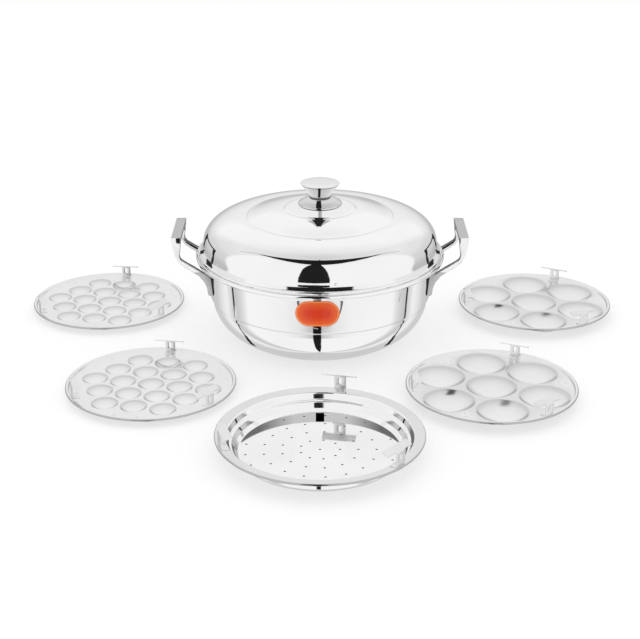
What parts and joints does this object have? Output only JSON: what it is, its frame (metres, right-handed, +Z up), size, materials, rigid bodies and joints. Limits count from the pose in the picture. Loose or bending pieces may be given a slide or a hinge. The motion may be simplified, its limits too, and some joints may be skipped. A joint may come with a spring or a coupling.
{
  "type": "idli steamer",
  "caption": "Round-bottomed stainless steel steaming pot with loop handles and a domed lid, laid out with its loose idli plates, mini-idli plates and perforated steaming pan.",
  "frame": {"origin": "centre of the pot's flat base, on the table", "axes": "+Z up along the pot's axis, X through the two handles, -Y towards the front where the label is"},
  "size_m": [0.792, 0.644, 0.209],
  "materials": {
    "pot_steel": "mirror-polished stainless steel sheet, spun and buffed",
    "handle_steel": "polished cast stainless steel, slightly softer shine on the grip's top face",
    "knob_steel": "mirror-polished turned stainless steel",
    "plate_steel": "bright pressed stainless steel sheet, satin in the pressed cavities",
    "bracket_steel": "bright bent stainless steel strip",
    "fastener_steel": "plain machine-finished steel",
    "label_print": "glossy orange-red printed film, blank, with a paler edge"
  },
  "bodies": {
    "kadai": {"kadai_bowl": "pot_steel", "handle_left": "handle_steel", "handle_right": "handle_steel", "blank_label": "label_print"},
    "lid": {"lid_dome": "pot_steel", "knob_cap": "knob_steel", "knob_rosette": "knob_steel", "knob_washer": "fastener_steel", "knob_screw": "fastener_steel"},
    "pan": {"steaming_pan": "plate_steel", "pan_bracket_1": "bracket_steel", "pan_bracket_2": "bracket_steel", "pan_bracket_3": "bracket_steel"},
    "idli_front": {"idli_plate_front": "plate_steel", "idli_front_bracket_1": "bracket_steel", "idli_front_bracket_2": "bracket_steel", "idli_front_bracket_3": "bracket_steel"},
    "idli_rear": {"idli_plate_rear": "plate_steel", "idli_rear_bracket_1": "bracket_steel", "idli_rear_bracket_2": "bracket_steel", "idli_rear_bracket_3": "bracket_steel"},
    "mini_front": {"mini_plate_front": "plate_steel", "mini_front_bracket_1": "bracket_steel", "mini_front_bracket_2": "bracket_steel", "mini_front_bracket_3": "bracket_steel"},
    "mini_rear": {"mini_plate_rear": "plate_steel", "mini_rear_bracket_1": "bracket_steel", "mini_rear_bracket_2": "bracket_steel", "mini_rear_bracket_3": "bracket_steel"}
  },
  "joints": [
    {"name": "lid_lift", "type": "slide", "parent": "kadai", "child": "lid", "axis": [0, 0, 1], "range_m": [0, 0.2]},
    {"name": "pan_lift", "type": "slide", "parent": "kadai", "child": "pan", "axis": [0, 0, 1], "range_m": [0, 0.15]},
    {"name": "idli_front_lift", "type": "slide", "parent": "kadai", "child": "idli_front", "axis": [0, 0, 1], "range_m": [0, 0.15]},
    {"name": "idli_rear_lift", "type": "slide", "parent": "kadai", "child": "idli_rear", "axis": [0, 0, 1], "range_m": [0, 0.15]},
    {"name": "mini_front_lift", "type": "slide", "parent": "kadai", "child": "mini_front", "axis": [0, 0, 1], "range_m": [0, 0.15]},
    {"name": "mini_rear_lift", "type": "slide", "parent": "kadai", "child": "mini_rear", "axis": [0, 0, 1], "range_m": [0, 0.15]}
  ]
}
